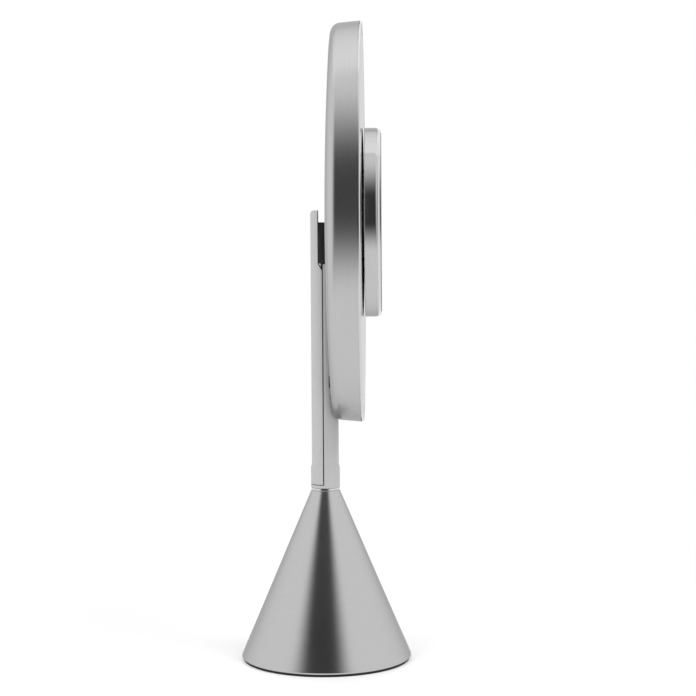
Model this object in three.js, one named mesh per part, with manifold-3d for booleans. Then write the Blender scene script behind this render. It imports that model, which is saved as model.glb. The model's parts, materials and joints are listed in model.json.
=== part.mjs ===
// Lighted makeup mirror on a cone stand, in millimetres.
// +Z is up and the mirror faces -Y. The origin is on the table, under the stem's axis.
// "Forward" is the distance in front of the stem's axis, so a forward of 10 lies at y = -10.

import * as THREE from 'three';
import { mergeVertices } from 'three/addons/utils/BufferGeometryUtils.js';
import Module from 'manifold-3d';

const wasm = await Module();
wasm.setup();

// Fits
const gap = 0.3;
const seam = 0.2;
const holeClearance = 0.3;

// Base
const baseRadius = 55.1;
const baseEdgeRadius = 2;
const baseBeadWidth = 3.4;
const coneTopRadius = 9.1;
const coneTop = 109.3;
const coneWall = 1.5;
const coneCapThickness = 2.5;
const footPadThickness = 1.3;
const footPadInset = 1.5;
const basePlateThickness = 2.4;
const baseScrewCount = 3;
const baseScrewCircle = 30;
const ballastHeight = 36;
const nutRecessRadius = 9.5;
const nutRecessDepth = 8;
const tieRodRadius = 3;
const tieRodHeadRadius = 6.5;
const tieRodHeadHeight = 1.8;
const tieNutWidth = 10;
const tieNutHeight = 5;
const tieWasherRadius = 8;
const tieWasherThickness = 1.2;

// Stem
const stemRadius = 8.65;
const stemWall = 1.1;
const stemFloor = 1.7;
const stemRingRadius = 9.2;
const stemRingThickness = 1.4;
const collarRadius = 9.3;
const collarHeight = 12.5;
const collarTaper = 2.5;
const coverSeamBehind = 0.5;
const coverSeamWidth = 0.7;
const coverFootStep = 1.8;
const coverStripFront = -3.8;
const coverRiseAbovePivot = 8;
const coverTopWall = 3.2;
const coverTopChamfer = 2.4;
const coverWebThickness = 1.2;
const coverShoulder = 4;

// Battery bay
const cellRadius = 5.25;
const cellBodyLength = 43.5;
const cellNubRadius = 1.9;
const cellNubHeight = 1;
const cellCount = 3;
const contactSpringHeight = 3.6;
const contactPlateThickness = 0.5;
const trayWall = 1.6;
const trayTongue = 2;

// Hinge
const pivotForward = 8.6;
const pivotRise = 26.3;
const hingeEyeRadius = 5.2;
const hingeEyeWidth = 16;
const hingePinRadius = 2.5;
const hingePinHeadRadius = 4;
const hingePinHeadThickness = 1.5;
const hingeClipThickness = 1;
const frictionWasherThickness = 1.5;
const bracketSleeveLength = 28;
const bracketBack = -3.5;
const earThickness = 2;
const earFootLength = 13;
const earHeight = 14;
const earFootThickness = 1.8;

// Channel in the back of the head
const channelSide = 1.5;
const linerWall = 1.2;
const pocketAbovePivot = 21;
const pocketBelowPivot = 12;
const pocketFrontRoom = 1;

// Head
const headRadius = 127;
const headDraft = 1.2;
const headBack = 1.6;
const headDome = 4;
const headCornerRadius = 6.4;
const headWall = 1.2;
const spacerRingWidth = 3;
const spacerRingInset = 6;
const carrierInset = 5;
const carrierThickness = 2;
const carrierBossCircle = 90;
const carrierBossRadius = 4;
const carrierScrewCount = 3;
const reflectorThickness = 0.5;
const lightGuideThickness = 2.2;
const lightGuideInset = 9.6;
const ledStripThickness = 1;
const ledHeight = 1.3;
const ledWidth = 4;
const ledCount = 24;
const diffuserThickness = 3;
const diffuserFlange = 0.9;
const diffuserInset = 3.5;
const trimFace = 1.3;
const trimLip = 6.4;
const trimSkirt = 3.3;
const trimSkirtWall = 1.3;

// Power button and its board
const buttonRadius = 4;
const buttonAside = -22;
const buttonFromRim = 27;
const buttonProud = 1.2;
const buttonTravel = 1;
const buttonFlange = 1.2;
const buttonFlangeThickness = 1;
const boardWidth = 23;
const boardHeight = 29;
const boardThickness = 1.5;
const boardStandoff = 0.7;
const switchSize = 6;
const switchDepth = 3.2;
const leadRadius = 0.9;

// Small mirror
const mirrorRadius = 60;
const mirrorGap = 1.3;
const mirrorStraight = 4.7;
const mirrorCurveDepth = 5.6;
const mirrorCurveInset = 3;
const mirrorShellDepth = 8.2;
const mirrorBezelDepth = 1.6;
const mirrorWall = 1.2;
const mirrorBezelWidth = 1.3;
const mirrorGasketWidth = 1;
const mirrorGlassThickness = 2.4;
const mirrorGlassDish = 1.6;
const mirrorGlassProud = 0.3;
const mirrorPostRadius = 6;
const mirrorPostFlangeRadius = 12;
const mirrorPostFlangeThickness = 1.5;
const mirrorPostScrewCircle = 9;
const mirrorPostScrewCount = 3;

// Small screws: head radius, head height and shank radius
const screwHeadRadius = 1.9;
const screwHeadHeight = 1;
const screwShankRadius = 1.1;
const mirrorScrewHeadRadius = 3.4;
const mirrorScrewShankRadius = 1.5;

// Sides of a full circle
const headSides = 48;
const innerSides = 32;
const baseSides = 40;
const stemSides = 24;
const smallSides = 12;

// Heights worked out from the driving dimensions
const coneFoot = footPadThickness + gap;
const basePlateTop = coneFoot + basePlateThickness;
const ballastFoot = basePlateTop + gap;
const ballastTop = ballastFoot + ballastHeight;
const stemRingFoot = coneTop + seam;
const stemFoot = stemRingFoot + stemRingThickness + seam;
const stemFloorTop = stemFoot + stemFloor;
const coverFoot = stemFoot + coverFootStep;
const rodHeadTop = stemFloorTop + gap + tieRodHeadHeight;
const springFoot = rodHeadTop + gap;
const cellLength = cellBodyLength + cellNubHeight;
const firstCellFoot = springFoot + contactSpringHeight + gap;
const contactPlateFoot = firstCellFoot + cellCount * (cellLength + gap);
const stemTop = contactPlateFoot + contactPlateThickness + gap;
const pivotHeight = stemTop + pivotRise;

// Distances forward, from the hinge's pocket to the front of the head
const pocketFloor = pivotForward + hingeEyeRadius + pocketFrontRoom;
const carrierBack = pocketFloor + linerWall + gap;
const carrierFront = carrierBack + carrierThickness;
const reflectorBack = carrierFront + gap;
const lightGuideBack = reflectorBack + reflectorThickness + gap;
const lightGuideFront = lightGuideBack + lightGuideThickness;
const diffuserBack = lightGuideFront + gap;
const diffuserFront = diffuserBack + diffuserThickness;
const headFront = diffuserFront + gap;
const trimBack = headFront - trimFace;
const housingFront = trimBack - gap;
const rimBack = headBack + headDome;
const cornerCentre = rimBack + headCornerRadius;
const backRadius = headRadius - headDraft;
const buttonBelowPivot = headRadius - buttonFromRim;
const domeRadius = backRadius - headCornerRadius;

// Small mirror, distances forward
const mirrorBack = headFront + mirrorGap;
const mirrorShellFront = mirrorBack + mirrorShellDepth;
const bezelBack = mirrorShellFront + gap;
const bezelFront = bezelBack + mirrorBezelDepth;
const mirrorCurveBack = mirrorBack + mirrorStraight;

// Board, distances forward
const boardFront = carrierBack - boardStandoff - gap;
const boardBack = boardFront - boardThickness;

const channelRadius = stemRadius + channelSide;
const rodHole = tieRodRadius + holeClearance;
const screwHole = screwShankRadius + holeClearance;
const pinHole = hingePinRadius + holeClearance;

// Finishes, as seen in the photograph
const finishes = {
  brushedNickel: { color: 0xc3c3c3, roughness: 0.35, metalness: 1 },
  polishedNickel: { color: 0xe4e4e4, roughness: 0.12, metalness: 1 },
  steel: { color: 0xb4b6b8, roughness: 0.4, metalness: 1 },
  castIron: { color: 0x4a4a4c, roughness: 0.8, metalness: 0.6 },
  blackSteel: { color: 0x161616, roughness: 0.5, metalness: 0.4 },
  blackPlastic: { color: 0x1c1c1c, roughness: 0.55, metalness: 0 },
  blackRubber: { color: 0x141414, roughness: 0.9, metalness: 0 },
  whitePlastic: { color: 0xe8e8e6, roughness: 0.5, metalness: 0 },
  opal: { color: 0xe6e6e4, roughness: 0.45, metalness: 0 },
  clearAcrylic: { color: 0xf2f6f8, roughness: 0.1, metalness: 0 },
  circuitBoard: { color: 0x1e5a36, roughness: 0.5, metalness: 0 },
  cellSleeve: { color: 0x3c5f8c, roughness: 0.35, metalness: 0 },
  silvered: { color: 0xf0f2f3, roughness: 0.03, metalness: 1 },
  foam: { color: 0x6a6a6a, roughness: 0.95, metalness: 0 },
  copperLead: { color: 0xa02820, roughness: 0.5, metalness: 0 },
};

// Shapes

function arc(centre, radii, fromDegrees, toDegrees, steps) {
  const points = [];
  for (let step = 0; step <= steps; step += 1) {
    const angle = THREE.MathUtils.degToRad(fromDegrees + (toDegrees - fromDegrees) * step / steps);
    points.push([centre[0] + radii[0] * Math.cos(angle), centre[1] + radii[1] * Math.sin(angle)]);
  }
  return points;
}

// An outline holds [radius, distance along the axis] points, anticlockwise.
function lathe(outline, sides) {
  const points = outline.map(([radius, along]) => new THREE.Vector2(radius, along));
  const onAxis = outline[0][0] === 0 && outline[outline.length - 1][0] === 0;
  if (!onAxis) {
    points.push(points[0].clone());
  }
  return new THREE.LatheGeometry(points, sides);
}

function turnedUp(outline, sides) {
  return lathe(outline, sides).rotateX(Math.PI / 2);
}

function turnedForward(outline, sides) {
  return lathe(outline, sides).rotateX(Math.PI);
}

function ringOutline(inner, outer, low, high) {
  return [[inner, low], [outer, low], [outer, high], [inner, high]];
}

function discOutline(radius, low, high) {
  return [[0, low], [radius, low], [radius, high], [0, high]];
}

function rodUp(radius, aside, forward, low, high, sides = smallSides) {
  const rod = new THREE.CylinderGeometry(radius, radius, high - low, sides).rotateX(Math.PI / 2);
  return rod.translate(aside, -forward, (low + high) / 2);
}

function rodForward(radius, aside, height, back, front, sides = smallSides) {
  const rod = new THREE.CylinderGeometry(radius, radius, front - back, sides);
  return rod.translate(aside, -(back + front) / 2, height);
}

function rodAcross(radius, forward, height, left, right, sides = smallSides) {
  const rod = new THREE.CylinderGeometry(radius, radius, right - left, sides).rotateZ(Math.PI / 2);
  return rod.translate((left + right) / 2, -forward, height);
}

function block(left, right, back, front, low, high) {
  const box = new THREE.BoxGeometry(right - left, front - back, high - low);
  return box.translate((left + right) / 2, -(back + front) / 2, (low + high) / 2);
}

function shapeOf(points) {
  return new THREE.Shape(points.map(([u, v]) => new THREE.Vector2(u, v)));
}

// The outline's points are [forward, height], and the piece is centred across.
function extrudedAcross(points, width) {
  const geometry = new THREE.ExtrudeGeometry(shapeOf(points), { depth: width, bevelEnabled: false });
  const axes = new THREE.Matrix4().makeBasis(
    new THREE.Vector3(0, -1, 0),
    new THREE.Vector3(0, 0, 1),
    new THREE.Vector3(-1, 0, 0),
  );
  return geometry.translate(0, 0, -width / 2).applyMatrix4(axes);
}

// The shape lies in the [across, height] plane.
function extrudedForward(shape, back, front) {
  const settings = { depth: front - back, bevelEnabled: false, curveSegments: innerSides };
  const geometry = new THREE.ExtrudeGeometry(shape, settings);
  const axes = new THREE.Matrix4().makeBasis(
    new THREE.Vector3(1, 0, 0),
    new THREE.Vector3(0, 0, 1),
    new THREE.Vector3(0, -1, 0),
  );
  return geometry.translate(0, 0, back).applyMatrix4(axes);
}

// The points are [across, forward, height].
function lead(points) {
  const places = points.map(([x, forward, z]) => new THREE.Vector3(x, -forward, z));
  const path = new THREE.CatmullRomCurve3(places);
  const section = new THREE.Shape().absarc(0, 0, leadRadius, 0, Math.PI * 2);
  return new THREE.ExtrudeGeometry(section, {
    curveSegments: 4,
    steps: 4 * (points.length - 1),
    bevelEnabled: false,
    extrudePath: path,
  });
}

// Joining and cutting

function solid(geometry) {
  const bare = geometry.clone();
  bare.deleteAttribute('normal');
  bare.deleteAttribute('uv');
  const merged = mergeVertices(bare, 1e-4);
  const index = merged.index.array;
  const triangles = [];
  for (let i = 0; i < index.length; i += 3) {
    const [a, b, c] = [index[i], index[i + 1], index[i + 2]];
    if (a !== b && b !== c && c !== a) {
      triangles.push(a, b, c);
    }
  }
  const vertProperties = new Float32Array(merged.attributes.position.array);
  const triVerts = new Uint32Array(triangles);
  return new wasm.Manifold(new wasm.Mesh({ numProp: 3, vertProperties, triVerts }));
}

function geometryOf(body) {
  const mesh = body.getMesh();
  const geometry = new THREE.BufferGeometry();
  geometry.setAttribute('position', new THREE.BufferAttribute(new Float32Array(mesh.vertProperties), 3));
  geometry.setIndex(new THREE.BufferAttribute(new Uint32Array(mesh.triVerts), 1));
  geometry.computeVertexNormals();
  return geometry;
}

function cut(geometry, ...tools) {
  return geometryOf(tools.reduce((body, tool) => body.subtract(solid(tool)), solid(geometry)));
}

function join(geometry, ...others) {
  return geometryOf(others.reduce((body, other) => body.add(solid(other)), solid(geometry)));
}

function common(geometry, other) {
  return geometryOf(solid(geometry).intersect(solid(other)));
}

// Placing

const mirror = new THREE.Group();
const head = new THREE.Group();
head.position.z = pivotHeight;
mirror.add(head);

function add(group, name, finish, geometry) {
  const material = new THREE.MeshStandardMaterial({ ...finishes[finish], flatShading: true });
  const mesh = new THREE.Mesh(geometry, material);
  mesh.name = name;
  group.add(mesh);
}

// Evenly spaced places on a circle, the first one straight up or forward.
function placesOnCircle(radius, count) {
  return Array.from({ length: count }, (_, index) => {
    const angle = THREE.MathUtils.degToRad(90 + 360 * index / count);
    return [radius * Math.cos(angle), radius * Math.sin(angle)];
  });
}

// A screw that points forward, seen from behind: its head is at the back.
function screwForward(aside, height, headBackAt, length) {
  const shoulder = headBackAt + screwHeadHeight;
  return turnedForward([
    [0, headBackAt],
    [screwHeadRadius, headBackAt],
    [screwHeadRadius, shoulder],
    [screwShankRadius, shoulder],
    [screwShankRadius, shoulder + length],
    [0, shoulder + length],
  ], smallSides).translate(aside, 0, height);
}

// A screw that points backwards: its head is at the front.
function screwBackward(aside, height, headFrontAt, length, radii = [screwHeadRadius, screwShankRadius]) {
  const [head, shank] = radii;
  const shoulder = headFrontAt - screwHeadHeight;
  return turnedForward([
    [0, shoulder - length],
    [shank, shoulder - length],
    [shank, shoulder],
    [head, shoulder],
    [head, headFrontAt],
    [0, headFrontAt],
  ], smallSides).translate(aside, 0, height);
}

// Base

const coneSlope = (baseRadius - coneTopRadius) / (coneTop - coneFoot - baseEdgeRadius);
const coneWallLevel = coneWall * Math.hypot(1, coneSlope);
const beadInner = baseRadius - baseBeadWidth;

function coneInnerAt(height) {
  return baseRadius - coneSlope * (height - coneFoot - baseEdgeRadius) - coneWallLevel;
}

function baseCone() {
  const capFoot = coneTop - coneCapThickness;
  const edge = [baseEdgeRadius, baseEdgeRadius];
  return turnedUp([
    [beadInner, coneFoot],
    ...arc([baseRadius - baseEdgeRadius, coneFoot + baseEdgeRadius], edge, -90, 0, 3),
    [coneTopRadius, coneTop],
    [rodHole, coneTop],
    [rodHole, capFoot],
    [coneInnerAt(capFoot), capFoot],
    [coneInnerAt(ballastFoot + gap), ballastFoot + gap],
    [beadInner, ballastFoot],
  ], baseSides);
}

function baseBallast() {
  const recessTop = ballastFoot + nutRecessDepth;
  const body = turnedUp([
    [nutRecessRadius, ballastFoot],
    [beadInner - gap, ballastFoot],
    [coneInnerAt(ballastTop) - 2 * gap, ballastTop],
    [rodHole, ballastTop],
    [rodHole, recessTop],
    [nutRecessRadius, recessTop],
  ], baseSides);
  const holes = baseScrewPlaces().map(([x, y]) => (
    rodUp(screwHole, x, -y, coneFoot, ballastFoot + nutRecessDepth)
  ));
  return cut(body, ...holes);
}

function baseScrewPlaces() {
  return placesOnCircle(baseScrewCircle, baseScrewCount);
}

function basePlate() {
  const plate = turnedUp(discOutline(beadInner - gap, coneFoot, basePlateTop), baseSides);
  const sinkTop = coneFoot + screwHeadHeight + gap;
  const sinks = baseScrewPlaces().map(([x, y]) => rodUp(screwHeadRadius + gap, x, -y, 0, sinkTop));
  const holes = baseScrewPlaces().map(([x, y]) => rodUp(screwHole, x, -y, 0, ballastFoot));
  return cut(plate, ...sinks, ...holes);
}

function baseScrew(x, y) {
  const shoulder = coneFoot + screwHeadHeight;
  return turnedUp([
    [0, coneFoot],
    [screwHeadRadius, coneFoot],
    [screwHeadRadius, shoulder],
    [screwShankRadius, shoulder],
    [screwShankRadius, ballastFoot + nutRecessDepth - gap],
    [0, ballastFoot + nutRecessDepth - gap],
  ], smallSides).translate(x, y, 0);
}

function tieRod() {
  return turnedUp([
    [0, ballastFoot],
    [tieRodRadius, ballastFoot],
    [tieRodRadius, stemFloorTop + gap],
    [tieRodHeadRadius, stemFloorTop + gap],
    [tieRodHeadRadius, rodHeadTop],
    [0, rodHeadTop],
  ], smallSides);
}

function tieNut(top) {
  const hexagon = rodUp(tieNutWidth / Math.sqrt(3), 0, 0, top - tieNutHeight, top, 6);
  return cut(hexagon, rodUp(rodHole, 0, 0, top - tieNutHeight - gap, top + gap));
}

function buildBase() {
  const washerTop = ballastFoot + nutRecessDepth - gap;
  const nutTop = washerTop - tieWasherThickness - gap;
  const padOutline = discOutline(baseRadius - footPadInset, 0, footPadThickness);
  add(mirror, 'foot_pad', 'blackRubber', turnedUp(padOutline, baseSides));
  add(mirror, 'base_cone', 'brushedNickel', baseCone());
  add(mirror, 'base_plate', 'steel', basePlate());
  add(mirror, 'base_ballast', 'castIron', baseBallast());
  add(mirror, 'tie_rod', 'steel', tieRod());
  add(mirror, 'tie_washer', 'steel', turnedUp(
    ringOutline(rodHole, tieWasherRadius, washerTop - tieWasherThickness, washerTop),
    smallSides,
  ));
  add(mirror, 'tie_nut', 'steel', tieNut(nutTop));
  baseScrewPlaces().forEach(([x, y], index) => {
    add(mirror, `base_screw_${index + 1}`, 'steel', baseScrew(x, y));
  });
}

// Stem and rear cover

const coverTop = pivotHeight + coverRiseAbovePivot;

function stemOutside(low, high) {
  const taperFoot = stemFoot + collarHeight;
  return [
    [0, low],
    [collarRadius, low],
    [collarRadius, taperFoot],
    [stemRadius, taperFoot + collarTaper],
    [stemRadius, high],
    [0, high],
  ];
}

function stemBody() {
  const outside = turnedUp(stemOutside(stemFoot, stemTop), stemSides);
  const bore = rodUp(stemRadius - stemWall, 0, 0, stemFloorTop, stemTop + gap, stemSides);
  const rodPassage = rodUp(rodHole, 0, 0, stemFoot - gap, stemFloorTop + gap);
  const wide = 2 * collarRadius;
  const rearHalf = block(-wide, wide, -wide, -coverSeamBehind, coverFoot, stemTop + gap);
  return cut(outside, bore, rodPassage, rearHalf);
}

function rearCover() {
  const foot = coverFoot + seam;
  const outside = turnedUp(stemOutside(foot, coverTop), stemSides);
  const hollow = rodUp(stemRadius - stemWall, 0, 0, foot - gap, coverTop - coverTopWall, stemSides);
  const seamForward = -coverSeamBehind - coverSeamWidth;
  const profile = extrudedAcross([
    [-2 * collarRadius, foot - gap],
    [seamForward, foot - gap],
    [seamForward, stemTop - coverShoulder],
    [coverStripFront, stemTop + gap],
    [coverStripFront, coverTop],
    [-stemRadius + coverTopChamfer, coverTop],
    [-stemRadius, coverTop - coverTopChamfer],
    [-2 * collarRadius, coverTop - coverTopChamfer],
  ], 4 * collarRadius);
  const webOuter = stemRadius - stemWall / 2;
  const webBack = coverStripFront - coverWebThickness;
  const web = common(
    block(-stemRadius, stemRadius, webBack, coverStripFront, stemTop + 2 * gap, coverTop - gap),
    rodUp(webOuter, 0, 0, stemTop, coverTop, stemSides),
  );
  return join(common(cut(outside, hollow), profile), web);
}

function batteryTray() {
  const outer = stemRadius - stemWall - gap;
  const low = springFoot;
  const high = stemTop - bracketSleeveLength - gap;
  const sleeve = turnedUp(ringOutline(outer - trayWall, outer, low, high), stemSides);
  return cut(sleeve, block(-2 * outer, 2 * outer, -2 * outer, -trayTongue, low - gap, high + gap));
}

function cell(foot) {
  const shoulder = foot + cellBodyLength;
  return turnedUp([
    [0, foot],
    [cellRadius, foot],
    [cellRadius, shoulder],
    [cellNubRadius, shoulder],
    [cellNubRadius, foot + cellLength],
    [0, foot + cellLength],
  ], smallSides);
}

function contactSpring() {
  return turnedUp([
    [0, springFoot],
    [cellRadius - 2 * gap, springFoot],
    [cellNubRadius, springFoot + contactSpringHeight],
    [0, springFoot + contactSpringHeight],
  ], smallSides);
}

function hingeBracket() {
  const outer = stemRadius - stemWall - gap;
  const webFoot = pivotHeight - hingeEyeRadius;
  const half = hingeEyeWidth / 2;
  const neck = common(
    block(-half, half, bracketBack, stemRadius, stemTop + gap, pivotHeight + gap),
    rodUp(stemRadius - gap, 0, 0, stemTop, pivotHeight + gap, stemSides),
  );
  const web = block(-half, half, bracketBack, pivotForward, webFoot, pivotHeight + gap);
  const eye = rodAcross(hingeEyeRadius, pivotForward, pivotHeight, -half, half, stemSides);
  const sleeveFoot = stemTop - bracketSleeveLength;
  const sleeveTop = stemTop + 3 * gap;
  const fullSleeve = turnedUp(ringOutline(outer - trayWall, outer, sleeveFoot, sleeveTop), stemSides);
  const rear = block(-2 * outer, 2 * outer, -2 * outer, -trayTongue, sleeveFoot - gap, sleeveTop + gap);
  const sleeve = cut(fullSleeve, rear);
  const pinPassage = rodAcross(pinHole, pivotForward, pivotHeight, -hingeEyeWidth, hingeEyeWidth);
  return cut(join(neck, web, eye, sleeve), pinPassage, leadGroove());
}

function leadGroove() {
  const half = leadRadius + gap;
  const high = pivotHeight - hingeEyeRadius;
  return block(-half, half, bracketBack - gap, bracketBack + 2 * half, stemTop, high);
}

function buildStem() {
  const ring = ringOutline(rodHole, stemRingRadius, stemRingFoot, stemRingFoot + stemRingThickness);
  add(mirror, 'stem_ring', 'polishedNickel', turnedUp(ring, stemSides));
  add(mirror, 'stem_body', 'brushedNickel', stemBody());
  add(mirror, 'rear_cover', 'brushedNickel', rearCover());
  add(mirror, 'battery_tray', 'blackPlastic', batteryTray());
  add(mirror, 'contact_spring', 'steel', contactSpring());
  for (let index = 0; index < cellCount; index += 1) {
    add(mirror, `cell_${index + 1}`, 'cellSleeve', cell(firstCellFoot + index * (cellLength + gap)));
  }
  add(mirror, 'contact_top', 'steel', turnedUp(
    discOutline(cellRadius, contactPlateFoot, contactPlateFoot + contactPlateThickness),
    smallSides,
  ));
  add(mirror, 'hinge_bracket', 'blackSteel', hingeBracket());
  const leadForward = bracketBack + leadRadius + gap;
  add(mirror, 'stem_lead', 'copperLead', lead([
    [0, leadForward, stemTop + 2 * gap],
    [0, leadForward, (stemTop + pivotHeight) / 2],
    [0, leadForward, pivotHeight - hingeEyeRadius - 2 * gap],
  ]));
}

// Head, in a group whose height is the pivot's

function domeForward(radius, offset) {
  const sphere = (domeRadius * domeRadius + headDome * headDome) / (2 * headDome);
  return headBack + offset + sphere - Math.sqrt(sphere * sphere - radius * radius);
}

function domePoints(outward, offset, steps) {
  const points = [];
  for (let step = 0; step <= steps; step += 1) {
    const share = outward ? step / steps : 1 - step / steps;
    const radius = share * domeRadius;
    points.push([radius, domeForward(radius, offset)]);
  }
  return points;
}

function wallRadiusAt(forward) {
  return backRadius + headDraft * (forward - cornerCentre) / (headFront - cornerCentre);
}

function headOutside(inset, front) {
  const corner = headCornerRadius - inset;
  return [
    ...domePoints(true, inset, 4),
    ...arc([domeRadius, cornerCentre], [corner, corner], -82, 0, 4),
    [wallRadiusAt(front) - inset, front],
  ];
}

// The room that the stem and the hinge need in the back of the head, grown by some thickness.
function channelRoom(grow) {
  const radius = channelRadius + grow;
  const low = -pocketBelowPivot - grow;
  const high = pocketAbovePivot + grow;
  const trough = rodUp(radius, 0, 0, -2 * headRadius, low + 1, stemSides);
  const pocket = block(-radius, radius, -headRadius, pocketFloor + grow, low, high);
  const behind = block(-radius, radius, -headRadius, 0, -2 * headRadius, low + 1);
  return join(trough, pocket, behind);
}

function headHousing() {
  const corner = headCornerRadius - headWall;
  const shell = turnedForward([
    ...headOutside(0, housingFront),
    [wallRadiusAt(housingFront) - headWall, housingFront],
    ...arc([domeRadius, cornerCentre], [corner, corner], 0, -82, 3),
    ...domePoints(false, headWall, 3),
  ], headSides);
  const bosses = carrierScrewPlaces().map(([x, z]) => {
    const foot = domeForward(carrierBossCircle, headWall / 2);
    return rodForward(carrierBossRadius, x, z, foot, carrierBack - gap);
  });
  const bossHoles = carrierScrewPlaces().map(([x, z]) => {
    const foot = domeForward(carrierBossCircle, 2 * headWall);
    return rodForward(screwHole, x, z, foot, carrierFront);
  });
  const buttonHole = rodForward(buttonRadius + gap, buttonAside, -buttonBelowPivot, -headDome, carrierBack);
  return cut(join(shell, ...bosses), ...bossHoles, channelRoom(linerWall + gap), buttonHole);
}

function carrierScrewPlaces() {
  return placesOnCircle(carrierBossCircle, carrierScrewCount);
}

function channelLiner() {
  const envelope = turnedForward([
    ...headOutside(gap, headFront),
    [0, headFront],
  ], headSides);
  const moulded = common(channelRoom(linerWall), envelope);
  const pin = rodAcross(pinHole, pivotForward, 0, -headRadius, headRadius);
  return cut(moulded, channelRoom(0), pin);
}

function hingeEar(side) {
  const inner = channelRadius + linerWall + gap;
  const half = earHeight / 2;
  const footFront = carrierBack - gap;
  const footBack = footFront - earFootThickness;
  const web = block(inner, inner + earThickness, pivotForward - hingeEyeRadius, footFront, -half, half);
  const foot = block(inner, inner + earFootLength, footBack, footFront, -half, half);
  const pin = rodAcross(pinHole, pivotForward, 0, 0, 2 * inner);
  const screws = earScrewPlaces(1).map(([x, z]) => rodForward(screwHole, x, z, 0, carrierFront));
  const ear = cut(join(web, foot), pin, ...screws);
  return side < 0 ? mirrored(ear) : ear;
}

function mirrored(geometry) {
  const flipped = geometry.clone().scale(-1, 1, 1);
  const index = flipped.index.array;
  for (let i = 0; i < index.length; i += 3) {
    [index[i + 1], index[i + 2]] = [index[i + 2], index[i + 1]];
  }
  flipped.computeVertexNormals();
  return flipped;
}

function earScrewPlaces(side) {
  const x = side * (channelRadius + linerWall + gap + (earThickness + earFootLength) / 2);
  return [[x, earHeight / 4], [x, -earHeight / 4]];
}

function hingePin() {
  const reach = channelRadius + linerWall + gap + earThickness;
  const head = -(reach + gap + hingePinHeadThickness);
  const end = reach + 2 * gap + hingeClipThickness;
  const shank = rodAcross(hingePinRadius, pivotForward, 0, head, end);
  return join(shank, rodAcross(hingePinHeadRadius, pivotForward, 0, head, -(reach + gap)));
}

function washerAcross(outer, inner, left, right) {
  const disc = rodAcross(outer, pivotForward, 0, left, right);
  return cut(disc, rodAcross(inner, pivotForward, 0, left - gap, right + gap));
}

function carrierPlate() {
  const outline = discOutline(headRadius - carrierInset, carrierBack, carrierFront);
  const plate = turnedForward(outline, innerSides);
  const pads = boardScrewPlaces().map(([x, z]) => (
    rodForward(screwHeadRadius, x, z, carrierBack - boardStandoff, carrierBack + gap)
  ));
  const earPlaces = [...earScrewPlaces(1), ...earScrewPlaces(-1)];
  const places = [...carrierScrewPlaces(), ...earPlaces, ...boardScrewPlaces()];
  const holes = places.map(([x, z]) => rodForward(screwHole, x, z, 0, carrierFront + gap));
  const postHoles = postScrewPlaces().map(([x, z]) => rodForward(screwHole, x, z, 0, carrierFront + gap));
  const sinks = carrierScrewPlaces().map(([x, z]) => (
    rodForward(screwHeadRadius + gap, x, z, carrierFront - screwHeadHeight - gap, carrierFront + gap)
  ));
  return cut(join(plate, ...pads), ...holes, ...postHoles, ...sinks);
}

function spacerRing() {
  const outer = backRadius - spacerRingInset + gap;
  const inner = outer - spacerRingWidth;
  const foot = domeForward(domeRadius, headWall) + 3 * gap;
  const ring = turnedForward(ringOutline(inner, outer, foot, carrierBack - gap), innerSides);
  return cut(ring, channelRoom(linerWall + gap));
}

function ledRing() {
  const inner = headRadius - lightGuideInset + 2 * gap + ledHeight;
  const outer = inner + ledStripThickness;
  const shape = new THREE.Shape().absarc(0, 0, outer, 0, Math.PI * 2);
  const hole = [];
  const halfAngle = ledWidth / inner / 2;
  for (let index = 0; index < ledCount; index += 1) {
    const middle = Math.PI * 2 * index / ledCount;
    const corners = [
      [inner, -halfAngle],
      [inner - ledHeight, -halfAngle],
      [inner - ledHeight, halfAngle],
      [inner, halfAngle],
    ];
    corners.forEach(([radius, turn]) => {
      hole.push(new THREE.Vector2(radius * Math.cos(middle + turn), radius * Math.sin(middle + turn)));
    });
  }
  shape.holes.push(new THREE.Path(hole));
  return extrudedForward(shape, reflectorBack, lightGuideFront);
}

function diffuser() {
  const outer = headRadius - diffuserInset;
  const face = headRadius - trimLip - gap;
  return turnedForward([
    [mirrorPostRadius + gap, diffuserBack],
    [outer, diffuserBack],
    [outer, diffuserBack + diffuserFlange],
    [face, diffuserBack + diffuserFlange],
    [face, diffuserFront],
    [mirrorPostRadius + gap, diffuserFront],
  ], headSides);
}

function trimRing() {
  const skirtInner = headRadius - diffuserInset + gap;
  const skirtOuter = skirtInner + trimSkirtWall;
  const edge = trimFace / 2;
  return turnedForward([
    [headRadius - trimLip, trimBack],
    [skirtInner, trimBack],
    [skirtInner, trimBack - trimSkirt],
    [skirtOuter, trimBack - trimSkirt],
    [skirtOuter, trimBack],
    [wallRadiusAt(trimBack), trimBack],
    ...arc([headRadius - edge, headFront - edge], [edge, edge], 0, 90, 3),
    [headRadius - trimLip, headFront],
  ], headSides);
}

function boardCentre() {
  return [buttonAside - boardWidth / 10, -buttonBelowPivot + boardHeight / 6];
}

function boardScrewPlaces() {
  const [x, z] = boardCentre();
  const reachAcross = boardWidth / 2 - 2 * screwHeadRadius;
  const reachUp = boardHeight / 2 - 2 * screwHeadRadius;
  return [[x - reachAcross, z + reachUp], [x + reachAcross, z + reachUp]];
}

function controlBoard() {
  const [x, z] = boardCentre();
  const halfWidth = boardWidth / 2;
  const halfHeight = boardHeight / 2;
  const plate = block(x - halfWidth, x + halfWidth, boardBack, boardFront, z - halfHeight, z + halfHeight);
  const chipFoot = -buttonBelowPivot + switchSize / 2 + 1;
  const chip = block(x - 4, x + 4, boardBack - 1.4, boardBack + gap, chipFoot, chipFoot + 8);
  const holes = boardScrewPlaces().map(([across, up]) => (
    rodForward(screwHole, across, up, 0, carrierFront)
  ));
  return cut(join(plate, chip), ...holes);
}

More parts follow.
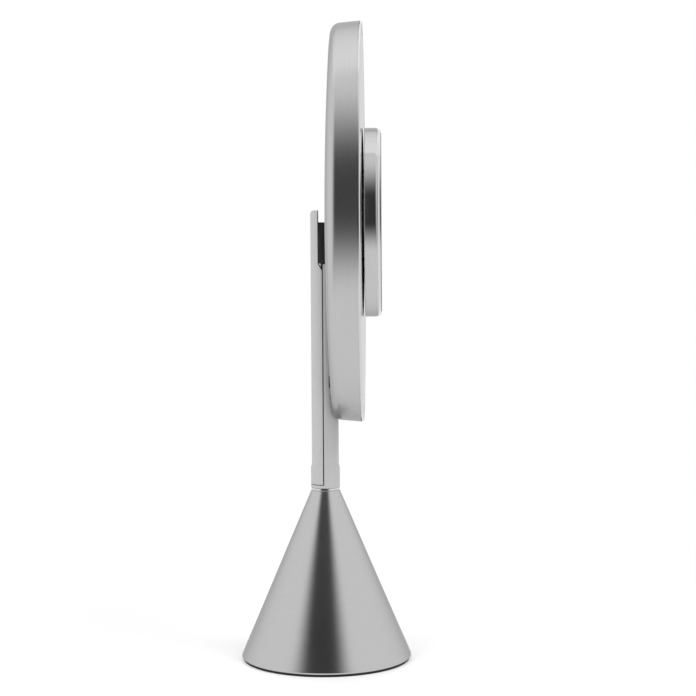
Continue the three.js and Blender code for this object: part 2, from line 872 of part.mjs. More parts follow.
function tactSwitch() {
  const half = switchSize / 2;
  const front = boardBack - gap;
  const back = front - switchDepth;
  const height = -buttonBelowPivot;
  const body = block(buttonAside - half, buttonAside + half, back, front, height - half, height + half);
  return join(body, rodForward(half / 2, buttonAside, height, back - 2 * gap, back + gap));
}

function powerButton() {
  const reach = Math.hypot(buttonAside, buttonBelowPivot);
  const surface = domeForward(reach, 0);
  const flangeBack = domeForward(reach + buttonRadius + buttonFlange, headWall) + gap;
  const flangeFront = flangeBack + buttonFlangeThickness;
  const switchTip = boardBack - gap - switchDepth - 2 * gap;
  const edge = buttonProud / 2;
  return turnedForward([
    [0, surface - buttonProud],
    ...arc([buttonRadius - edge, surface - buttonProud + edge], [edge, edge], -90, 0, 3),
    [buttonRadius, flangeBack],
    [buttonRadius + buttonFlange, flangeBack],
    [buttonRadius + buttonFlange, flangeFront],
    [buttonRadius / 3, flangeFront],
    [buttonRadius / 3, switchTip - buttonTravel - gap],
    [0, switchTip - buttonTravel - gap],
  ], smallSides).translate(buttonAside, 0, -buttonBelowPivot);
}

function postScrewPlaces() {
  return placesOnCircle(mirrorPostScrewCircle, mirrorPostScrewCount);
}

function mirrorPost() {
  const flangeFront = reflectorBack + mirrorPostFlangeThickness;
  const front = mirrorBack - gap;
  const hole = mirrorScrewShankRadius + holeClearance;
  const post = turnedForward([
    [0, reflectorBack],
    [mirrorPostFlangeRadius, reflectorBack],
    [mirrorPostFlangeRadius, flangeFront],
    [mirrorPostRadius, flangeFront],
    [mirrorPostRadius, front],
    [0, front],
  ], innerSides / 2);
  const screws = postScrewPlaces().map(([x, z]) => rodForward(screwHole, x, z, 0, headFront));
  return cut(post, ...screws, rodForward(hole, 0, 0, flangeFront, front + gap));
}

// The small mirror's side: straight, then curving in to its front.
function mirrorCurve(fromForward, toForward, steps) {
  const points = [];
  for (let step = 0; step <= steps; step += 1) {
    const forward = fromForward + (toForward - fromForward) * step / steps;
    const rise = (forward - mirrorCurveBack) / mirrorCurveDepth;
    const radius = mirrorRadius - mirrorCurveInset * (1 - Math.sqrt(1 - rise * rise));
    points.push([radius, forward]);
  }
  return points;
}

function mirrorShell() {
  const inner = mirrorRadius - mirrorWall;
  const floor = mirrorBack + mirrorWall;
  const hole = mirrorScrewShankRadius + holeClearance;
  const curve = mirrorCurve(mirrorCurveBack, mirrorShellFront, 3);
  return turnedForward([
    [hole, mirrorBack],
    ...arc([mirrorRadius - 1, mirrorBack + 1], [1, 1], -90, 0, 2),
    ...curve,
    [curve[curve.length - 1][0] - mirrorWall, mirrorShellFront],
    [inner, mirrorCurveBack],
    [inner, floor],
    [hole, floor],
  ], innerSides);
}

const bezelInner = mirrorCurve(bezelFront, bezelFront, 1)[0][0] - mirrorBezelWidth / 2;
const gasketOuter = bezelInner - gap;
const gasketInner = gasketOuter - mirrorGasketWidth;
const glassRadius = gasketInner - gap;

function mirrorBezel() {
  const skirtOuter = mirrorRadius - mirrorWall - 4 * gap;
  return turnedForward([
    [gasketInner, mirrorCurveBack],
    [skirtOuter, mirrorCurveBack],
    [skirtOuter, bezelBack],
    ...mirrorCurve(bezelBack, bezelFront, 3),
    [bezelInner, bezelFront],
    [bezelInner, bezelBack],
    [gasketInner, bezelBack],
  ], innerSides);
}

function dishedPoints(rimForward, outward, steps) {
  const points = [];
  for (let step = 0; step <= steps; step += 1) {
    const share = outward ? step / steps : 1 - step / steps;
    points.push([share * glassRadius, rimForward - mirrorGlassDish * (1 - share * share)]);
  }
  return points;
}

const glassFront = bezelFront + mirrorGlassProud;
const glassBack = glassFront - mirrorGlassThickness;

function mirrorGlass() {
  return turnedForward([
    ...dishedPoints(glassBack, true, 3),
    ...dishedPoints(glassFront, false, 3),
  ], innerSides);
}

function mirrorPad() {
  const back = mirrorBack + mirrorWall + gap;
  return turnedForward(
    ringOutline(mirrorScrewHeadRadius + gap, glassRadius - gap, back, glassBack - mirrorGlassDish - gap),
    innerSides,
  );
}

function buildHinge() {
  const washerInner = hingeEyeWidth / 2 + gap;
  const washerOuter = washerInner + frictionWasherThickness;
  const earOuter = channelRadius + linerWall + gap + earThickness;
  add(head, 'hinge_ear_right', 'steel', hingeEar(1));
  add(head, 'hinge_ear_left', 'steel', hingeEar(-1));
  add(head, 'hinge_pin', 'steel', hingePin());
  const washerRight = washerAcross(hingeEyeRadius, pinHole, washerInner, washerOuter);
  const washerLeft = washerAcross(hingeEyeRadius, pinHole, -washerOuter, -washerInner);
  add(head, 'friction_washer_right', 'blackPlastic', washerRight);
  add(head, 'friction_washer_left', 'blackPlastic', washerLeft);
  const clipLeft = earOuter + gap;
  const clip = washerAcross(hingePinHeadRadius, pinHole, clipLeft, clipLeft + hingeClipThickness);
  add(head, 'hinge_clip', 'steel', clip);
  const earScrewHead = carrierBack - gap - earFootThickness - gap - screwHeadHeight;
  [...earScrewPlaces(1), ...earScrewPlaces(-1)].forEach(([x, z], index) => {
    const screw = screwForward(x, z, earScrewHead, earFootThickness + carrierThickness);
    add(head, `ear_screw_${index + 1}`, 'steel', screw);
  });
}

function buildLight() {
  const post = mirrorPostFlangeRadius + 2 * gap;
  const guideRadius = headRadius - lightGuideInset;
  const reflectorFront = reflectorBack + reflectorThickness;
  add(head, 'carrier_plate', 'whitePlastic', carrierPlate());
  carrierScrewPlaces().forEach(([x, z], index) => {
    const screw = screwBackward(x, z, carrierFront, 2 * carrierThickness);
    add(head, `carrier_screw_${index + 1}`, 'steel', screw);
  });
  add(head, 'spacer_ring', 'blackPlastic', spacerRing());
  add(head, 'reflector_sheet', 'whitePlastic', turnedForward(
    ringOutline(post, guideRadius, reflectorBack, reflectorFront),
    innerSides,
  ));
  add(head, 'light_guide', 'clearAcrylic', turnedForward(
    ringOutline(post, guideRadius, lightGuideBack, lightGuideFront),
    innerSides,
  ));
  add(head, 'led_ring', 'whitePlastic', ledRing());
  add(head, 'diffuser', 'opal', diffuser());
  add(head, 'trim_ring', 'polishedNickel', trimRing());
}

function buildControls() {
  const [boardX, boardZ] = boardCentre();
  add(head, 'control_board', 'circuitBoard', controlBoard());
  boardScrewPlaces().forEach(([x, z], index) => {
    const headBackAt = boardBack - gap - screwHeadHeight;
    const screw = screwForward(x, z, headBackAt, boardThickness + carrierThickness);
    add(head, `board_screw_${index + 1}`, 'steel', screw);
  });
  add(head, 'tact_switch', 'blackPlastic', tactSwitch());
  add(head, 'power_button', 'blackRubber', powerButton());
  const leadForward = boardFront - boardThickness / 2;
  const leadStart = -(channelRadius + linerWall + gap + leadRadius);
  add(head, 'head_lead', 'copperLead', lead([
    [leadStart, leadForward - leadRadius, -earHeight / 2 - 2],
    [leadStart, leadForward - leadRadius, -earHeight],
    [(leadStart + boardX) / 2, leadForward, (boardZ + boardHeight / 2 - earHeight) / 2],
    [boardX, leadForward, boardZ + boardHeight / 2 + 6],
    [boardX, leadForward, boardZ + boardHeight / 2 + gap],
  ]));
}

function buildMirror() {
  add(head, 'mirror_post', 'steel', mirrorPost());
  const postScrewHead = reflectorBack + mirrorPostFlangeThickness + gap + screwHeadHeight;
  postScrewPlaces().forEach(([x, z], index) => {
    const length = mirrorPostFlangeThickness + gap + carrierThickness;
    add(head, `post_screw_${index + 1}`, 'steel', screwBackward(x, z, postScrewHead, length));
  });
  add(head, 'mirror_shell', 'brushedNickel', mirrorShell());
  const screwHead = mirrorBack + mirrorWall + gap + screwHeadHeight;
  const screwLength = mirrorWall + 2 * gap + 3 * mirrorScrewShankRadius;
  const screwRadii = [mirrorScrewHeadRadius, mirrorScrewShankRadius];
  add(head, 'mirror_screw', 'steel', screwBackward(0, 0, screwHead, screwLength, screwRadii));
  add(head, 'mirror_pad', 'foam', mirrorPad());
  add(head, 'mirror_glass', 'silvered', mirrorGlass());
  add(head, 'mirror_gasket', 'blackRubber', turnedForward(
    ringOutline(gasketInner, gasketOuter, bezelBack + gap, bezelFront + gap),
    innerSides,
  ));
  add(head, 'mirror_bezel', 'polishedNickel', mirrorBezel());
}

function buildHead() {
  add(head, 'head_housing', 'brushedNickel', headHousing());
  add(head, 'channel_liner', 'blackPlastic', channelLiner());
  buildHinge();
  buildLight();
  buildControls();
  buildMirror();
}

buildBase();
buildStem();
buildHead();

export default mirror;
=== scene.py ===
"""Looks of a lighted makeup mirror: a round head on a slim stem over a cone base."""

import json
import math

import bmesh
import bpy
from mathutils import Matrix, Vector

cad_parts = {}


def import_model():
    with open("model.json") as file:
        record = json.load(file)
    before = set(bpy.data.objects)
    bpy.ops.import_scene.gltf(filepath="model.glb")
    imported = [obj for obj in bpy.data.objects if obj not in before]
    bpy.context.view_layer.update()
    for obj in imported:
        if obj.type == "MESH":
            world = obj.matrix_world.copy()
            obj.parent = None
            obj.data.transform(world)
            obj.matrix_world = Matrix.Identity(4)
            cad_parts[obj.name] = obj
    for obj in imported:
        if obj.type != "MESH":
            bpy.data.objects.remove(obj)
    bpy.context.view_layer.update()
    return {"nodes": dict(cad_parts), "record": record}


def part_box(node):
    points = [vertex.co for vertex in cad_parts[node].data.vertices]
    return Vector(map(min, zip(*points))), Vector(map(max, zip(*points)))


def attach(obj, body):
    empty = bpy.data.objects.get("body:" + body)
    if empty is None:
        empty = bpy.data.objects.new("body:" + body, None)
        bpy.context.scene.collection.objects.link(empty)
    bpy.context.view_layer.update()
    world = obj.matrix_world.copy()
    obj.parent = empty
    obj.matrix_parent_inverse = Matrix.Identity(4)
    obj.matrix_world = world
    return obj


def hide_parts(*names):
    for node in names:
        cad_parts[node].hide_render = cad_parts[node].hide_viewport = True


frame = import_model()

MM = 0.001
SIDES = 192
HEAD_SIDES = 256
SHARP_ANGLE = math.radians(32)

# Sizes in millimetres, read from the frame where it holds them
JOINTS = {joint["name"]: joint for joint in frame["record"]["behaviour"]["joints"]}
PIVOT_FORWARD = -JOINTS["head_tilt"]["pos_m"][1] / MM
PIVOT_HEIGHT = JOINTS["head_tilt"]["pos_m"][2] / MM


def span(node, axis):
    """Lowest and highest coordinate of a node along an axis, in millimetres."""
    low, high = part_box(node)
    return low[axis] / MM, high[axis] / MM


def radius_of(node):
    low, high = span(node, 0)
    return (high - low) / 2


def forward_span(node):
    """How far a node's back and front lie in front of the stem's axis."""
    low, high = span(node, 1)
    return -high, -low


def height_span(node):
    return span(node, 2)


# Clearances, and how far cutting shapes reach past what they cut
SEAM = 0.2
GAP = 0.3
OVER = 1
FAR = 30

# Holes for the hardware
PIN_HOLE = 2.8
ROD_HOLE = 3.3
POST_HOLE = 6.3
SCREW_HOLE = 1.8

# Stem, its rear cover and the hinge
STEM_RADIUS = 8.65
STEM_WALL = 1.1
STEM_INSIDE = STEM_RADIUS - STEM_WALL
STEM_FLOOR = 1.7
STEM_TOP = height_span("stem_body")[1]
STEM_EDGE = 0.12
COLLAR_RADIUS = radius_of("stem_body")
COLLAR_HEIGHT = 12.5
COLLAR_TAPER = 2.5
RING_DRAFT = 0.18
COVER_SEAM = -0.5
COVER_SEAM_WIDTH = 0.7
COVER_SHOULDER = 4
COVER_TOP_WALL = 3.2
COVER_CHAMFER = 2.4
STRIP_FRONT = -3.8
TONGUE = 2.0
EYE_RADIUS = 5.2

# Head, with the channel and pocket in its back
HEAD_RADIUS = radius_of("trim_ring") - 0.01
HEAD_FRONT = forward_span("trim_ring")[1]
HEAD_BACK = 1.6
HEAD_DOME = 4
HEAD_DRAFT = 1.2
HEAD_CORNER = 6.4
HEAD_WALL = 1.2
DOME_RADIUS = HEAD_RADIUS - HEAD_DRAFT - HEAD_CORNER
DOME_SPHERE = (DOME_RADIUS * DOME_RADIUS + HEAD_DOME * HEAD_DOME) / (2 * HEAD_DOME)
LIP_SIDE = 1.0
LIP_SEAM = 0.45
LIP_WIDTH = 6.4
LINER_WALL = 1.2
CHANNEL_RADIUS = span("channel_liner", 0)[1] - LINER_WALL
POCKET_FLOOR = forward_span("channel_liner")[1] - LINER_WALL
POCKET_TOP = height_span("channel_liner")[1] - PIVOT_HEIGHT - LINER_WALL
POCKET_BELOW = 12
BUTTON_RADIUS = 4

# Small mirror
MIRROR_RADIUS = radius_of("mirror_shell")
MIRROR_BACK, SHELL_FRONT = forward_span("mirror_shell")
MIRROR_WALL = 1.2
CURVE_BACK = MIRROR_BACK + 5.9
CURVE_DEPTH = 4.4
CURVE_INSET = 2.8


# Colour and nodes

def linear(hex_colour):
    """An sRGB hex colour as linear red, green, blue and alpha."""
    values = [int(hex_colour[i:i + 2], 16) / 255 for i in (1, 3, 5)]
    return [v / 12.92 if v <= 0.04045 else ((v + 0.055) / 1.055) ** 2.4 for v in values] + [1.0]


def add_node(tree, kind, settings=None, inputs=None):
    """Adds a node, sets its properties, and sets or links its inputs."""
    made = tree.nodes.new(kind)
    for name, value in (settings or {}).items():
        setattr(made, name, value)
    for socket, value in (inputs or {}).items():
        if isinstance(value, bpy.types.NodeSocket):
            tree.links.new(value, made.inputs[socket])
        else:
            made.inputs[socket].default_value = value
    return made


def new_material(name):
    """An empty node material with its output, and the tree to build in."""
    material = bpy.data.materials.new(name)
    material.use_nodes = True
    tree = material.node_tree
    tree.nodes.clear()
    output = add_node(tree, "ShaderNodeOutputMaterial")
    return material, tree, output


def turned_coordinates(tree, upright):
    """Coordinates of a turned surface: its radius, a slow change round it, and along its axis."""
    round_each_radian = 4 * MM
    place = add_node(tree, "ShaderNodeTexCoord").outputs["Object"]
    if not upright:
        place = add_node(
            tree, "ShaderNodeVectorMath", {"operation": "ADD"}, {0: place, 1: (0, 0, -PIVOT_HEIGHT * MM)},
        ).outputs[0]
    parts = add_node(tree, "ShaderNodeSeparateXYZ", None, {0: place}).outputs
    across = parts["X"]
    along, other = (parts["Z"], parts["Y"]) if upright else (parts["Y"], parts["Z"])
    square = add_node(tree, "ShaderNodeMath", {"operation": "MULTIPLY"}, {0: across, 1: across}).outputs[0]
    squares = add_node(
        tree, "ShaderNodeMath", {"operation": "MULTIPLY_ADD"}, {0: other, 1: other, 2: square},
    ).outputs[0]
    radius = add_node(tree, "ShaderNodeMath", {"operation": "SQRT"}, {0: squares}).outputs[0]
    turn = add_node(tree, "ShaderNodeMath", {"operation": "ARCTAN2"}, {0: across, 1: other}).outputs[0]
    slow_turn = add_node(
        tree, "ShaderNodeMath", {"operation": "MULTIPLY"}, {0: turn, 1: round_each_radian},
    ).outputs[0]
    return add_node(tree, "ShaderNodeCombineXYZ", None, {0: radius, 1: slow_turn, 2: along}).outputs[0]


def brushed_nickel(name, upright, roughness):
    """Nickel plate brushed on a lathe: a grey mirror blurred across fine rings round the axis.

    The real scratches are about 0.1 mm apart, too fine to show, so they are drawn 0.7 mm apart.
    Soft clouds, 45 mm apart, vary the blur a little.
    """
    scratch_spacing, cloud_spacing = 0.7 * MM, 45.45 * MM
    material, tree, output = new_material(name)
    place = turned_coordinates(tree, upright)
    scratches = add_node(
        tree, "ShaderNodeTexNoise", None,
        {"Vector": place, "Scale": 1 / scratch_spacing, "Detail": 4, "Roughness": 0.6},
    ).outputs[0]
    body = add_node(tree, "ShaderNodeTexCoord").outputs["Object"]
    clouds = add_node(
        tree, "ShaderNodeTexNoise", None, {"Vector": body, "Scale": 1 / cloud_spacing, "Detail": 3},
    ).outputs[0]
    tone = add_node(
        tree, "ShaderNodeMix", {"data_type": "RGBA"},
        {0: scratches, 6: linear("#BCBCBC"), 7: linear("#C4C4C4")},
    ).outputs[2]
    rough = add_node(
        tree, "ShaderNodeMapRange", None,
        {
            "Value": clouds, "From Min": 0.2, "From Max": 0.8,
            "To Min": roughness[0], "To Max": roughness[1],
        },
    ).outputs[0]
    bump = add_node(
        tree, "ShaderNodeBump", None, {"Height": scratches, "Strength": 0.02, "Distance": 0.02 * MM},
    ).outputs[0]
    shader = add_node(
        tree, "ShaderNodeBsdfPrincipled", None,
        {
            "Base Color": tone, "Metallic": 1.0, "Roughness": rough, "Normal": bump,
            "Specular Tint": linear("#C8C8C8"),
        },
    )
    tree.links.new(shader.outputs[0], output.inputs["Surface"])
    return material


def moulded(name, colours, roughness, grain, bump, ior=None, metallic=0.0, extra=None):
    """A moulded, painted or cast surface: two close tones and a fine grain of a real size in mm.

    A metal keeps the default IOR.
    """
    material, tree, output = new_material(name)
    place = add_node(tree, "ShaderNodeTexCoord").outputs["Object"]
    speckle = add_node(
        tree, "ShaderNodeTexNoise", None, {"Vector": place, "Scale": 1 / (grain * MM), "Detail": 3},
    ).outputs[0]
    tone = add_node(
        tree, "ShaderNodeMix", {"data_type": "RGBA"},
        {0: speckle, 6: linear(colours[0]), 7: linear(colours[1])},
    ).outputs[2]
    rough = add_node(
        tree, "ShaderNodeMapRange", None,
        {
            "Value": speckle, "From Min": 0.3, "From Max": 0.7,
            "To Min": roughness[0], "To Max": roughness[1],
        },
    ).outputs[0]
    relief = add_node(
        tree, "ShaderNodeBump", None, {"Height": speckle, "Strength": bump, "Distance": 0.05 * MM},
    ).outputs[0]
    inputs = {"Base Color": tone, "Roughness": rough, "Normal": relief, "Metallic": metallic}
    if ior:
        inputs["IOR"] = ior
    inputs.update(extra or {})
    shader = add_node(tree, "ShaderNodeBsdfPrincipled", None, inputs)
    tree.links.new(shader.outputs[0], output.inputs["Surface"])
    return material


MATERIALS = {
    # Brushed nickel plate: soft grey bands of light, ringed round the cone and round the head.
    "nickel_upright": brushed_nickel("brushed_nickel_plate_upright", True, (0.18, 0.23)),
    "nickel_forward": brushed_nickel("brushed_nickel_plate_forward", False, (0.24, 0.29)),
    # The same with a finer brush: the bands keep harder edges.
    "nickel_fine": brushed_nickel("finely_brushed_nickel_plate", False, (0.08, 0.10)),
    # Silver lacquer over a drawn tube: it scatters light, so it stays even and pale.
    "lacquer": moulded(
        "silver_lacquer_on_tube", ("#B9B9B9", "#BFBFBF"), (0.48, 0.55),
        grain=0.5, bump=0.03, metallic=0.1,
    ),
    # Polished nickel plate: a bright, sharp reflection with hardly any marks.
    "polished": moulded(
        "polished_nickel_plate", ("#CECECC", "#D6D6D4"), (0.08, 0.13),
        grain=3.0, bump=0.01, metallic=1.0,
    ),
    # Zinc-plated steel: cool grey with a dull, slightly cloudy shine.
    "steel": moulded(
        "zinc_plated_steel", ("#A9ABAD", "#BBBDBF"), (0.28, 0.42),
        grain=1.2, bump=0.05, metallic=1.0,
    ),
    # Cast iron: dark, dull and pitted by the sand it was cast in.
    "iron": moulded(
        "sand_cast_iron", ("#3E3E40", "#545456"), (0.7, 0.9),
        grain=1.5, bump=0.6, metallic=0.6,
    ),
    # Black powder coat on steel: near black, faintly pebbled.
    "black_steel": moulded(
        "black_powder_coat", ("#101010", "#191919"), (0.42, 0.55),
        grain=0.6, ior=1.5, bump=0.15,
    ),
    # Painted shade: black felt-like fibres without any gloss, laid on the small mirror's back so that the
    # gap behind it reads as shade.
    "painted_gap_shade": moulded(
        "painted_gap_shade_black", ("#070707", "#0D0D0D"), (0.95, 1.0),
        grain=0.3, ior=1.5, bump=0.4, extra={"Specular IOR Level": 0.0},
    ),
    # Moulded ABS: black with a matt spark-eroded texture.
    "black_plastic": moulded(
        "moulded_black_abs", ("#151515", "#1E1E1E"), (0.45, 0.6),
        grain=0.5, ior=1.54, bump=0.12,
    ),
    # Rubber: black, dull, without a sharp highlight.
    "rubber": moulded(
        "moulded_black_rubber", ("#0F0F0F", "#191919"), (0.75, 0.9),
        grain=0.4, ior=1.52, bump=0.15,
    ),
    # White polycarbonate: opaque and evenly matt.
    "white_plastic": moulded(
        "white_polycarbonate", ("#E4E4E2", "#ECECEA"), (0.4, 0.5),
        grain=0.6, ior=1.58, bump=0.03,
    ),
    # Opal acrylic with a clear hard coat: milky, glossy, and light goes a little way in.
    "opal": moulded(
        "opal_acrylic", ("#D9D9D7", "#E0E0DE"), (0.03, 0.05),
        grain=1.0, ior=1.49, bump=0.01,
        extra={
            "Subsurface Weight": 0.25, "Subsurface Radius": (2 * MM, 2 * MM, 2 * MM),
            "Subsurface Scale": 1.0,
            "Coat Weight": 1.0, "Coat Roughness": 0.02, "Coat IOR": 1.5,
        },
    ),
    # Clear acrylic sheet: glass-like.
    "clear": moulded(
        "clear_acrylic", ("#F0F4F6", "#F6F9FA"), (0.03, 0.08),
        grain=4.0, ior=1.49, bump=0.0, extra={"Transmission Weight": 0.85},
    ),
    # Fibreglass board under green solder mask: glossy with a faint weave.
    "board": moulded(
        "green_solder_mask", ("#174F2D", "#1F6238"), (0.25, 0.38),
        grain=0.8, ior=1.55, bump=0.08,
    ),
    # Shrunk plastic sleeve of a dry cell, without any print.
    "sleeve": moulded(
        "shrunk_pvc_sleeve", ("#34577F", "#3C628F"), (0.25, 0.35),
        grain=2.0, ior=1.53, bump=0.02,
    ),
    # Silvered glass: an almost perfect mirror.
    "silvered": moulded(
        "silvered_glass", ("#EEF1F2", "#F2F4F5"), (0.01, 0.02),
        grain=9.0, bump=0.0, metallic=1.0,
    ),
    # Closed-cell foam: grey, matt and finely open.
    "foam": moulded(
        "closed_cell_foam", ("#5F5F5F", "#747474"), (0.9, 1.0),
        grain=0.9, ior=1.5, bump=0.5,
    ),
    # Soft PVC on a thin lead: red, with a slight shine.
    "lead": moulded(
        "red_pvc_insulation", ("#982018", "#AE2A20"), (0.35, 0.45),
        grain=1.0, ior=1.53, bump=0.02,
    ),
}


# Meshes

def put(name, data):
    """An object with this mesh, camera or light, linked into the scene."""
    made = bpy.data.objects.new(name, data)
    bpy.context.collection.objects.link(made)
    return made


def finished(name, mesh, body, node, material, other=None, has_other=None):
    """Turns a mesh into a smooth piece that rides on a body and stands for a node.

    The faces that has_other picks out get the other material.
    """
    mesh.materials.append(MATERIALS[material])
    if other:
        mesh.materials.append(MATERIALS[other])
        for face in mesh.polygons:
            face.material_index = int(has_other(face))
    mesh.polygons.foreach_set("use_smooth", [True] * len(mesh.polygons))
    mesh.set_sharp_from_angle(angle=SHARP_ANGLE)
    mesh.update()
    piece = put(name, mesh)
    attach(piece, body)
    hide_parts(node)


def rounded(points, steps=5):
    """An outline from (radius, along, fillet) points, each corner rounded by its fillet, in mm."""
    share_of_line = 0.49
    outline = []
    count = len(points)
    for index, point in enumerate(points):
        corner = Vector(point[:2])
        fillet = point[2] if len(point) > 2 else 0
        if not fillet:
            outline.append(corner)
            continue
        before = Vector(points[index - 1][:2]) - corner
        after = Vector(points[(index + 1) % count][:2]) - corner
        half = before.angle(after) / 2
        reach = min(fillet / math.tan(half), share_of_line * min(before.length, after.length))
        start = corner + before.normalized() * reach
        end = corner + after.normalized() * reach
        for step in range(steps + 1):
            share = step / steps
            outline.append((1 - share) ** 2 * start + 2 * share * (1 - share) * corner + share ** 2 * end)
    return outline


def held(outline):
    """The outline with a point near both ends of each long line, so that smooth shading keeps it flat."""
    reach = 0.35
    points = []
    for start, end in zip(outline, outline[1:] + outline[:1]):
        start, end = Vector(start), Vector(end)
        points.append(start)
        line = end - start
        if line.length > 4 * reach and min(start.x, end.x) > reach:
            points.append(start + line.normalized() * reach)
            points.append(end - line.normalized() * reach)
    return points


def turned(outline, upright, centre_height=0.0, sides=SIDES):
    """A mesh turned round the stem's axis, or round the forward axis at a height."""
    made = bmesh.new()
    rings = []
    for radius, along in held(outline):
        ring = []
        for side in range(sides if radius > 0 else 1):
            angle = 2 * math.pi * side / sides
            across, other = radius * math.cos(angle), radius * math.sin(angle)
            place = (across, other, along) if upright else (across, -along, other + centre_height)
            ring.append(made.verts.new(Vector(place) * MM))
        rings.append(ring)
    pairs = list(zip(rings, rings[1:]))
    if len(rings[0]) + len(rings[-1]) > 2:
        pairs.append((rings[-1], rings[0]))
    for low, high in pairs:
        for side in range(sides):
            after = (side + 1) % sides
            corners = [ring[end % len(ring)] for ring, end in (
                (low, side), (low, after), (high, after), (high, side),
            )]
            unique = list(dict.fromkeys(corners))
            if len(unique) > 2:
                made.faces.new(unique)
    bmesh.ops.recalc_face_normals(made, faces=made.faces)
    return mesh_from(made)


def box_mesh(left, right, back, front, low, high):
    """A block between two forward distances and two heights, in mm."""
    made = bmesh.new()
    size = Vector((right - left, front - back, high - low)) * MM
    centre = Vector(((left + right) / 2, -(back + front) / 2, (low + high) / 2)) * MM
    bmesh.ops.create_cube(made, size=1.0, matrix=Matrix.LocRotScale(centre, None, size))
    return mesh_from(made)


def rod_mesh(radius, start, end, sides=64):
    """A rod between two points given as (across, forward, height), in mm."""
    a = Vector((start[0], -start[1], start[2])) * MM
    b = Vector((end[0], -end[1], end[2])) * MM
    made = bmesh.new()
    turn = (b - a).to_track_quat("Z", "Y")
    bmesh.ops.create_cone(
        made, cap_ends=True, segments=sides, radius1=radius * MM, radius2=radius * MM,
        depth=(b - a).length, matrix=Matrix.LocRotScale((a + b) / 2, turn, None),
    )
    return mesh_from(made)


def side_mesh(points, width):
    """A plate with a side outline of (forward, height) points, as wide as given and centred."""
    made = bmesh.new()
    face = made.faces.new([made.verts.new(Vector((-width / 2, -f, z)) * MM) for f, z in points])
    grown = bmesh.ops.extrude_face_region(made, geom=[face])
    moved = [item for item in grown["geom"] if isinstance(item, bmesh.types.BMVert)]
    bmesh.ops.translate(made, verts=moved, vec=Vector((width * MM, 0, 0)))
    bmesh.ops.recalc_face_normals(made, faces=made.faces)
    return mesh_from(made)


def mesh_from(made):
    mesh = bpy.data.meshes.new("solid")
    made.to_mesh(mesh)
    made.free()
    return mesh


def combined(mesh, *steps):
    """A mesh joined with, cut by or kept within others: each step is (operation, mesh)."""
    base = put("base", mesh)
    tools = []
    for operation, tool_mesh in steps:
        tool = put("tool", tool_mesh)
        tools.append(tool)
        change = base.modifiers.new(operation, "BOOLEAN")
        change.operation = operation
        change.solver = "EXACT"
        change.object = tool
    return baked(base, tools)


def baked(base, helpers=()):
    """The object's mesh with its modifiers applied; the object and its helpers are removed."""
    graph = bpy.context.evaluated_depsgraph_get()
    result = bpy.data.meshes.new_from_object(base.evaluated_get(graph))
    for used in (base, *helpers):
        bpy.data.objects.remove(used)
    return result


def bevelled(mesh, width):
    """The mesh with its sharp edges broken by a small bevel, in mm."""
    base = put("base", mesh)
    change = base.modifiers.new("edge", "BEVEL")
    change.width = width * MM
    change.segments = 3
    change.limit_method = "ANGLE"
    change.angle_limit = math.radians(40)
    return baked(base)


# Base

def cone_base():
    low, high = height_span("base_cone")
    radius = radius_of("base_cone")
    top_radius, top_wall, top_side_wall = 9.1, 2.5, 0.7
    foot_wall, bead_width, bead_height = 3.3, 3.4, 3
    piece = turned(rounded([
        (radius - bead_width, low, 0.3),
        (radius, low, 2.6),
        (top_radius, high, 0.25),
        (ROD_HOLE, high),
        (ROD_HOLE, high - top_wall),
        (top_radius - top_side_wall, high - top_wall),
        (radius - foot_wall, low + bead_height + 1),
        (radius - bead_width, low + bead_height),
    ]), True)
    finished("cone_shell", piece, "stand", "base_cone", "nickel_upright")


def foot():
    low, high = height_span("foot_pad")
    radius = radius_of("foot_pad")
    piece = turned(rounded([(0, low), (radius, low, 0.2), (radius, high, 0.2), (0, high)]), True)
    finished("foot_pad_rubber", piece, "stand", "foot_pad", "rubber")


# Stem

def stem_outline(low, high, top_fillet):
    """The tube's outside with the collar at its foot, which the stem and its cover share."""
    collar_top = height_span("stem_body")[0] + COLLAR_HEIGHT
    return rounded([
        (0, low),
        (COLLAR_RADIUS, low, 0.2),
        (COLLAR_RADIUS, collar_top, 3),
        (STEM_RADIUS, collar_top + COLLAR_TAPER, 3),
        (STEM_RADIUS, high, top_fillet),
        (0, high),
    ])


def stem():
    low = height_span("stem_body")[0]
    cover_foot = height_span("rear_cover")[0] - SEAM
    floor_top = low + STEM_FLOOR
    tube = combined(
        turned(stem_outline(low, STEM_TOP, 0.2), True),
        ("DIFFERENCE", rod_mesh(STEM_INSIDE, (0, 0, floor_top), (0, 0, STEM_TOP + OVER), SIDES)),
        ("DIFFERENCE", rod_mesh(ROD_HOLE, (0, 0, low - OVER), (0, 0, floor_top + OVER))),
        ("DIFFERENCE", box_mesh(-FAR, FAR, -FAR, COVER_SEAM, cover_foot, STEM_TOP + OVER)),
    )
    finished("stem_front", bevelled(tube, STEM_EDGE), "stand", "stem_body", "lacquer")


def rear_cover():
    low, high = height_span("rear_cover")
    seam = COVER_SEAM - COVER_SEAM_WIDTH
    web_back, web_foot, web_lap = STRIP_FRONT - 1.2, STEM_TOP + 2 * GAP, 0.5
    profile = side_mesh([
        (-FAR, low + GAP), (seam, low + GAP), (seam, STEM_TOP - COVER_SHOULDER),
        (STRIP_FRONT, STEM_TOP + GAP), (STRIP_FRONT, high + OVER), (-FAR, high + OVER),
    ], 2 * FAR)
    web = combined(
        box_mesh(-STEM_RADIUS, STEM_RADIUS, web_back, STRIP_FRONT, web_foot, high - GAP),
        ("INTERSECT", rod_mesh(STEM_INSIDE + web_lap, (0, 0, STEM_TOP), (0, 0, high), SIDES)),
    )
    tube = combined(
        turned(stem_outline(low, high, COVER_CHAMFER), True),
        ("DIFFERENCE", rod_mesh(STEM_INSIDE, (0, 0, low - OVER), (0, 0, high - COVER_TOP_WALL), SIDES)),
        ("INTERSECT", profile),
        ("UNION", web),
    )
    finished("stem_rear", bevelled(tube, STEM_EDGE), "cover", "rear_cover", "lacquer")


